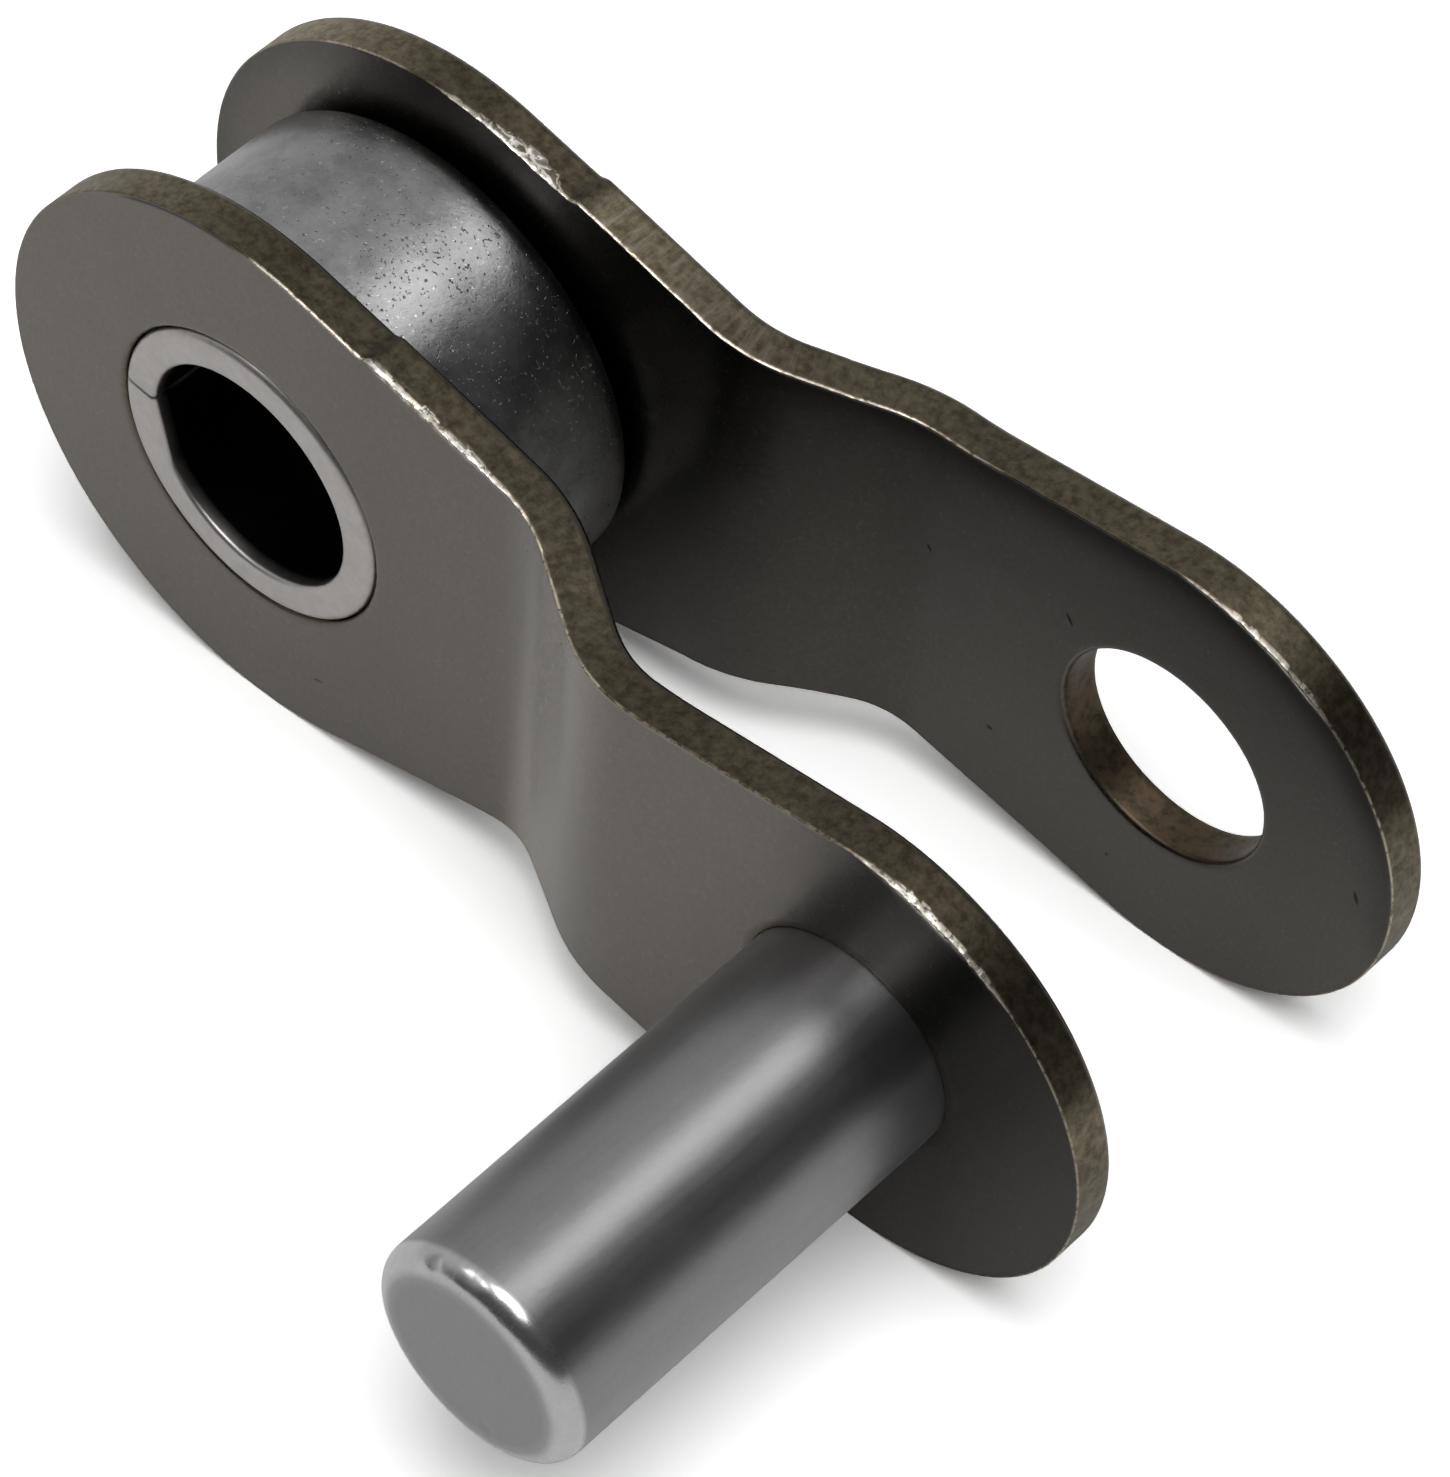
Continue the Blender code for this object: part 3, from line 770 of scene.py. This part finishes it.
class Paint:
    """The nodes of a material or of the world, under construction."""

    def __init__(self, owner):
        owner.use_nodes = True
        self.tree = owner.node_tree
        self.tree.nodes.clear()

    def add(self, kind, settings, inputs):
        """Add a node of a kind: its settings are set first, then the values or links of its sockets."""
        node = self.tree.nodes.new(kind)
        for key, setting in settings.items():
            setattr(node, key, setting)
        for key, value in inputs.items():
            if isinstance(value, Value):
                self.tree.links.new(value.socket, node.inputs[key])
            else:
                node.inputs[key].default_value = value
        return Node(self, node)

    def place(self):
        """Object coordinates in millimetres."""
        coordinates = self.add("ShaderNodeTexCoord", {}, {})["Object"]
        return self.stretch(coordinates, (1 / mm, 1 / mm, 1 / mm))

    def stretch(self, vector, factors):
        """A vector times a factor for each axis."""
        return self.add("ShaderNodeVectorMath", {"operation": "MULTIPLY"}, {0: vector, 1: factors})[0]

    def noise(self, vector, scale, detail=2.0, roughness=0.5):
        """Noise from 0 to 1, with scale features to a millimetre."""
        inputs = {"Vector": vector, "Scale": scale, "Detail": detail, "Roughness": roughness}
        return self.add("ShaderNodeTexNoise", {}, inputs)[0]

    def between(self, value, low, high):
        """0 where a value is below low, 1 above high, and smooth between."""
        inputs = {"Value": value, "From Min": low, "From Max": high, "To Min": 0.0, "To Max": 1.0}
        return self.add("ShaderNodeMapRange", {"interpolation_type": "SMOOTHSTEP"}, inputs)[0]

    def mix(self, factor, first, second):
        """The first colour where the factor is 0 and the second where it is 1.

        The Mix node's colours are its inputs 6 and 7 and its output 2.
        """
        colours = [(*tone, 1.0) if isinstance(tone, tuple) else tone for tone in (first, second)]
        inputs = {0: factor, 6: colours[0], 7: colours[1]}
        return self.add("ShaderNodeMix", {"data_type": "RGBA"}, inputs)[2]

    def cells(self, vector, feature):
        """Irregular cells of about one unit: a number for each, or the distance from their borders."""
        node = self.add("ShaderNodeTexVoronoi", {"feature": feature}, {"Vector": vector, "Scale": 1.0})
        if feature == "DISTANCE_TO_EDGE":
            return node["Distance"]
        return self.add("ShaderNodeSeparateXYZ", {}, {0: node["Color"]})[0]

    def shift(self, vector, value, reach):
        """A vector moved along all its axes by a value times a reach."""
        moved = self.join(value * reach, value * reach, value * reach)
        return self.add("ShaderNodeVectorMath", {"operation": "ADD"}, {0: vector, 1: moved})[0]

    def largest(self, first, second):
        """The larger of two values."""
        return first.combine("MAXIMUM", first, second)

    def join(self, x, y, z):
        """A vector from its three parts."""
        return self.add("ShaderNodeCombineXYZ", {}, {0: x, 1: y, 2: z})[0]

    def scale(self, colour, factor):
        """A colour times a number."""
        return self.add("ShaderNodeVectorMath", {"operation": "SCALE"}, {0: colour, "Scale": factor})[0]

    def facing(self, direction, axis, low, high):
        """1 towards a fixed axis and 0 away from it, smooth between the given cosines."""
        both = {0: direction, 1: axis}
        cosine = self.add("ShaderNodeVectorMath", {"operation": "DOT_PRODUCT"}, both)["Value"]
        return self.between(cosine, low, high)

    def attribute(self, name):
        """A piece's own number stored at its points."""
        return self.add("ShaderNodeAttribute", {"attribute_name": name}, {})["Fac"]

    def bump(self, height, distance):
        """A normal from a height in units of distance, which is in millimetres."""
        return self.add("ShaderNodeBump", {}, {"Height": height, "Distance": distance * mm})[0]


def metal(name, painter):
    """A material of bare metal: painter returns its colour, roughness and normal for a Paint."""
    material = bpy.data.materials.new(name)
    paint = Paint(material)
    colour, roughness, normal = painter(paint)
    surface = paint.add("ShaderNodeBsdfPrincipled", {}, {
        "Base Color": colour, "Roughness": roughness, "Metallic": 1.0, "Normal": normal})
    paint.add("ShaderNodeOutputMaterial", {}, {"Surface": surface[0]})
    return material


# Colours of the plates' steel
rolled_dark = (0.098, 0.090, 0.079)
rolled_pale = (0.204, 0.190, 0.170)
rolled_cloud = (0.128, 0.113, 0.100)
sheared_dark = (0.035, 0.028, 0.018)
sheared_brown = (0.110, 0.090, 0.062)
sheared_green = (0.080, 0.074, 0.048)
sheared_streak = (0.170, 0.155, 0.130)
hole_rust = (0.085, 0.056, 0.034)
torn_grey = (0.26, 0.245, 0.215)
burr_brown = (0.34, 0.25, 0.14)
burr_pale_and_highlight = (0.80, 0.77, 0.70)

# Colours of the roller, the bush and the pin
roller_dark = (0.26, 0.26, 0.263)
roller_pale = (0.45, 0.45, 0.45)
roller_grain = (0.24, 0.235, 0.23)
pit_dark = (0.06, 0.055, 0.05)
speck_bright = (0.75, 0.74, 0.72)
bush_dark = (0.46, 0.440, 0.428)
bush_pale = (0.56, 0.536, 0.520)
bore_painted_shade = (0.010, 0.009, 0.008)
pin_dark = (0.25, 0.248, 0.254)
pin_pale = (0.395, 0.392, 0.397)

# Marks on the faces: place on the blank, half length and width, direction, strength (bright below 0)
pin_side_marks = ((14.83, -0.08, 0.2, 0.016, 118, -0.6), (14.6, -0.25, 0.12, 0.014, 60, -0.4),
                  (1.4, -3.5, 0.1, 0.03, 20, 0.6))
hole_side_marks = ((8.53, 0.85, 0.09, 0.035, 130, 0.9), (11.11, 1.48, 0.12, 0.035, 125, 1.0),
                   (9.97, -2.03, 0.06, 0.04, 0, 0.9), (16.51, 0.07, 0.14, 0.035, 110, 0.9),
                   (12.3, -2.9, 0.05, 0.03, 60, 0.6))

# Where the paler band along the crank lies: a line across the blank, in millimetres along it and as a slope
crank_line = 5.5
crank_line_slant = 0.09


def plate_finish(marks, crank_band_amount, flake_glare):
    """Grey-brown rolled faces with a fine grain, a few marks and a paler band along the crank.

    The sheared edges are dark and olive with pale streaks, and bright where they are torn or burred: partly
    pale metal, partly painted highlight.
    """

    def painter(paint):
        place = paint.place()
        rim, burr, tone, stripes, torn, level, x, y, hole = map(paint.attribute, plate_attributes)

        # Rolled faces, paler in a band along the crank, and marked
        grain = paint.noise(place, 11.0, 3.0, 0.75)
        cloud = paint.noise(place, 0.7, 3.0, 0.6)
        face = paint.mix(grain, rolled_dark, rolled_pale)
        face = paint.mix(cloud * 0.45, face, rolled_cloud)
        bend = x - y * crank_line_slant - crank_line
        wide_band = paint.between(bend, -0.9, 0.0) * (1 - paint.between(bend, 1.0, 4.5)) * 0.05
        crank_band = wide_band + paint.between(bend, -0.2, 0.75) * (1 - paint.between(bend, 0.8, 2.9)) * 1.2
        burr_side = paint.between(level, 0.3, 0.34)
        face = paint.scale(face, 1 + burr_side * crank_band * crank_band_amount)
        for mark in marks:
            face = paint.scale(face, 1 - oval_mark(paint, x, y, mark) * burr_side)

        # Sheared edges, rusty in the holes
        strokes = paint.noise(paint.join(x * 9.0, y * 9.0, level * 1.2), 1.0, 3.0, 0.6)
        blotch = paint.noise(place, 6.0, 4.0, 0.7)
        olive = paint.mix(paint.noise(place, 1.1, 2.0), sheared_brown, sheared_green)
        sheared = paint.mix(paint.between(blotch, 0.25, 0.75), sheared_dark, olive)
        rusty = hole * paint.between(paint.noise(place, 3.0, 4.0, 0.65), 0.35, 0.65)
        sheared = paint.mix(rusty * 0.7, sheared, hole_rust)
        streaks = paint.between(strokes, 0.4, 0.75) * stripes * 0.55
        sheared = paint.mix(streaks, sheared, sheared_streak)
        # tone holds the faces' painted shade and painted reflection and the edges' painted glint
        colour = paint.scale(paint.mix(rim, face, sheared), tone)

        # Torn flakes with bright borders, and the bright crumbled burr: partly pale metal and partly
        # painted highlight
        flakes = paint.stretch(paint.join(x, y, level), (2.6, 2.6, 4.2))
        flakes = paint.shift(flakes, paint.noise(place, 3.0, 2.0), 0.5)
        flake = paint.cells(flakes, "F1")
        border = 1 - paint.between(paint.cells(flakes, "DISTANCE_TO_EDGE"), 0.04, 0.13)
        border = paint.largest(border, paint.between(flake, 0.6, 0.75) * flake_glare)
        brink = paint.between(torn, 0.1, 0.4) * (1 - paint.between(torn, 0.6, 0.9))
        colour = paint.mix(torn * (0.2 + flake * 0.5), colour, torn_grey)
        crumble = paint.between(paint.noise(place, 13.0, 2.0, 0.6), 0.30, 0.55)
        burr = burr * (0.35 + crumble * 0.65)
        bright = paint.mix(paint.largest(burr, torn), burr_brown, burr_pale_and_highlight)
        shining = paint.largest(brink * 0.8, torn * border) * paint.between(crumble, 0.1, 0.6)
        shining = paint.largest(paint.between(burr, 0.05, 0.5), shining)
        colour = paint.mix(shining, colour, bright)

        roughness = 0.26 + rim * 0.20 - burr * 0.22 + (grain - 0.5) * 0.10
        relief = grain * 0.25 + (strokes * stripes + blotch) * rim * 2.0 + torn * flake * 6.0
        return colour, roughness, paint.bump(relief, 0.004)

    return painter


def oval_mark(paint, x, y, mark):
    """An oval dent or scratch: its strength inside the oval, 0 outside and smooth at the border."""
    mark_x, mark_y, half_long, half_wide, direction, strength = mark
    cosine, sine = math.cos(math.radians(direction)), math.sin(math.radians(direction))
    lengthwise = ((x - mark_x) * cosine + (y - mark_y) * sine) / half_long
    crosswise = ((y - mark_y) * cosine - (x - mark_x) * sine) / half_wide
    return (1 - paint.between(lengthwise * lengthwise + crosswise * crosswise, 0.3, 1.3)) * strength


def roller_finish(paint):
    """Satin grey steel, cloudy, with fine dark pits in patches and a few bright specks."""
    place = paint.place()
    mottle = paint.noise(place, 1.1, 5.0, 0.68)
    grain = paint.noise(place, 9.0, 3.0, 0.7)
    patches = paint.between(paint.noise(place, 0.9, 2.0), 0.42, 0.62)
    pits = paint.between(paint.noise(place, 16.0, 2.0, 0.6) + patches * 0.05, 0.65, 0.77)
    drawn = paint.noise(paint.stretch(place, (1.0, 0.8, 1.0)), 14.0, 2.0, 0.6)
    specks = paint.between(drawn, 0.65, 0.73)
    colour = paint.mix(paint.between(mottle, 0.3, 0.7), roller_dark, roller_pale)
    colour = paint.mix(grain * 0.35, colour, roller_grain)
    colour = paint.mix(pits * 0.55, colour, pit_dark)
    colour = paint.mix(specks * 0.5, colour, speck_bright)
    roughness = 0.25 + mottle * 0.13 + pits * 0.2 - specks * 0.12
    return colour, roughness, paint.bump(mottle * 0.8 + grain * 0.5 - pits, 0.007)


def bush_finish(paint):
    """Light silver steel with a fine grain and faint clouds, nearly black deeper in the bore, which is
    painted shade.
    """
    place = paint.place()
    grain = paint.noise(place, 6.0, 4.0, 0.7)
    cloud = paint.noise(place, 1.6, 3.0, 0.6)
    bore = paint.attribute("bore")
    wear = grain * 0.6 + cloud * 0.4
    colour = paint.mix(paint.between(wear, 0.3, 0.7), bush_dark, bush_pale)
    # Deeper in the bore the colour goes nearly black: painted shade.
    colour = paint.mix(bore, colour, bore_painted_shade)
    return colour, 0.30 + grain * 0.14, paint.bump(wear, 0.004)


def pin_finish(paint):
    """Smooth satin steel, drawn lengthwise, with slightly darker end faces and pale rims, partly worn metal
    and partly painted highlight.
    """
    place = paint.place()
    drawn = paint.noise(paint.stretch(place, (1.0, 0.08, 1.0)), 7.0, 3.0, 0.6)
    grain = paint.noise(place, 14.0, 2.0, 0.6)
    cloud = paint.noise(place, 1.3, 3.0, 0.6)
    face, rim = paint.attribute("face"), paint.attribute("rim")
    colour = paint.mix(drawn * 0.4 + grain * 0.3 + cloud * 0.3, pin_dark, pin_pale)
    # The rims are paler: partly worn metal, partly painted highlight that widens the glint.
    colour = paint.scale(colour, 1 + rim * 0.9 - face * 0.05)
    roughness = 0.28 + drawn * 0.1 + cloud * 0.06 - rim * 0.10
    return colour, roughness, paint.bump(grain * 0.6 + cloud * 1.6, 0.002)


# The paper: its size in metres, and its white for the light and for the camera
floor_radius = 1.2
floor_first_ring = 0.02
floor_rings = 24
floor_sectors = 96
floor_white = 0.95
camera_white = 1.92
paper_glow = 0.02

# The room as metal mirrors it and as the paper sees it: evenly dim, with one bright side each
room_dark = 0.06
room_left = 0.44
paper_dark = 0.14
paper_above = 3.3

# The bright sides: an axis, and the cosines to it where the light begins and where it is full
left_side = ((-0.785, 0.453, 0.422), 0.0, 0.8)
upper_side = ((0.254, -0.147, 0.956), 0.82, 1.0)

# Lamps on the metal: place and width in metres, power in watts; all face one place on the link
lamp_target = (0.0, 0.0, 0.004)
lamps = (
    ("window_softbox", (0.026, 0.062, 0.12), 0.055, 0.019),
    ("ceiling_softbox", (0.034, -0.036, 0.2), 0.085, 0.14),
    ("front_lamp", (-0.065, -0.08, 0.175), 0.03, 0.02),
)


def floor_material():
    """White paper that keeps the object's shadow; the camera sees its lit part as pure white."""
    material = bpy.data.materials.new("white_floor")
    paint = Paint(material)
    seen = paint.add("ShaderNodeLightPath", {}, {})["Is Camera Ray"]
    white = seen * (camera_white - floor_white) + floor_white
    paper = paint.add("ShaderNodeCombineXYZ", {}, {0: white, 1: white, 2: white})
    matt = paint.add("ShaderNodeBsdfDiffuse", {}, {"Color": paper[0]})
    glow = paint.add("ShaderNodeEmission", {}, {"Strength": seen * paper_glow})
    both = paint.add("ShaderNodeAddShader", {}, {0: matt[0], 1: glow[0]})
    paint.add("ShaderNodeOutputMaterial", {}, {"Surface": both[0]})
    return material


def make_floor():
    """A wide disc that the link stands on, as rings that widen with the distance."""
    angle = np.arange(floor_sectors) / floor_sectors * 2 * math.pi
    rings = np.geomspace(floor_first_ring, floor_radius, floor_rings)
    radius = np.concatenate([[0], rings])[:, None]
    grid = joined(radius * np.cos(angle), radius * np.sin(angle), 0 * radius)
    floor = surface_piece("floor", [(grid, True, ())])
    floor.data.materials.append(floor_material())


def make_world():
    """A room that is white for the camera, bright on the left for metal and bright above for the paper."""
    world = bpy.data.worlds.new("studio")
    bpy.context.scene.world = world
    world.cycles.sampling_method = "NONE"
    paint = Paint(world)
    direction = paint.add("ShaderNodeTexCoord", {}, {})["Generated"]
    rays = paint.add("ShaderNodeLightPath", {}, {})
    left = paint.facing(direction, *left_side)
    above = paint.facing(direction, *upper_side)
    seen_by_metal = left * room_left + room_dark
    seen_by_paper = above * paper_above + paper_dark
    level = rays["Is Glossy Ray"] * (seen_by_metal - seen_by_paper) + seen_by_paper
    level = rays["Is Camera Ray"] * (1 - level) + level
    room = paint.add("ShaderNodeBackground", {}, {"Color": (1.0, 1.0, 1.0, 1.0), "Strength": level})
    paint.add("ShaderNodeOutputWorld", {}, {"Surface": room[0]})


def make_lamp(name, place, width, power):
    """A square soft lamp that only the metal mirrors: the camera and the paper don't see it."""
    light = bpy.data.lights.new(name, "AREA")
    light.shape = "SQUARE"
    light.size = width
    light.energy = power
    lamp = bpy.data.objects.new(name, light)
    bpy.context.scene.collection.objects.link(lamp)
    lamp.location = place
    lamp.rotation_euler = (Vector(lamp_target) - Vector(place)).to_track_quat("-Z", "Y").to_euler()
    lamp.visible_camera = False
    lamp.visible_diffuse = False


def make_camera():
    """The camera at the fitted place, turned by azimuth, elevation and roll."""
    data = bpy.data.cameras.new("photo_camera")
    data.sensor_fit = "HORIZONTAL"
    data.sensor_width = sensor_width
    data.lens = focal_length_px / photo_width * sensor_width
    data.clip_start = 0.002
    data.clip_end = 10.0
    camera = bpy.data.objects.new("photo_camera", data)
    bpy.context.scene.collection.objects.link(camera)
    tilt = Matrix.Rotation(math.pi / 2 - camera_elevation, 4, "X")
    turn = Matrix.Rotation(camera_azimuth, 4, "Z") @ tilt
    camera.matrix_world = Matrix.Translation(camera_place) @ turn @ Matrix.Rotation(camera_roll, 4, "Z")
    bpy.context.scene.camera = camera


def dress(piece, material, body, node):
    """Give a piece its material and its body, and hide the CAD node that it stands for."""
    piece.data.materials.append(material)
    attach(piece, body)
    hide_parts(node)


pin_side = plate_piece("stamped_plate_pin_side", -1, 1, pin_side_wear_and_painted_light, held_pin_gap, held_pin_roll)
pin_side_steel = metal("pin_side_steel", plate_finish(pin_side_marks, 1.0, 0.6))
dress(pin_side, pin_side_steel, "link", "plate_pin_side")
hole_side = plate_piece("stamped_plate_hole_side", 1, -1, hole_side_wear_and_painted_light, press_gap, rolled_hole_edge)
hole_side_steel = metal("hole_side_steel", plate_finish(hole_side_marks, 0.15, 0.1))
dress(hole_side, hole_side_steel, "link", "plate_hole_side")
dress(bush_piece(), metal("bush_steel_finish", bush_finish), "link", "bush")
dress(roller_piece(), metal("roller_steel_finish", roller_finish), "roller", "roller")
dress(pin_piece(), metal("pin_steel_finish", pin_finish), "pin", "connecting_pin")

make_floor()
make_world()
for lamp_name, lamp_place, lamp_width, lamp_power in lamps:
    make_lamp(lamp_name, lamp_place, lamp_width, lamp_power)
make_camera()
bpy.context.scene.view_settings.view_transform = "Standard"
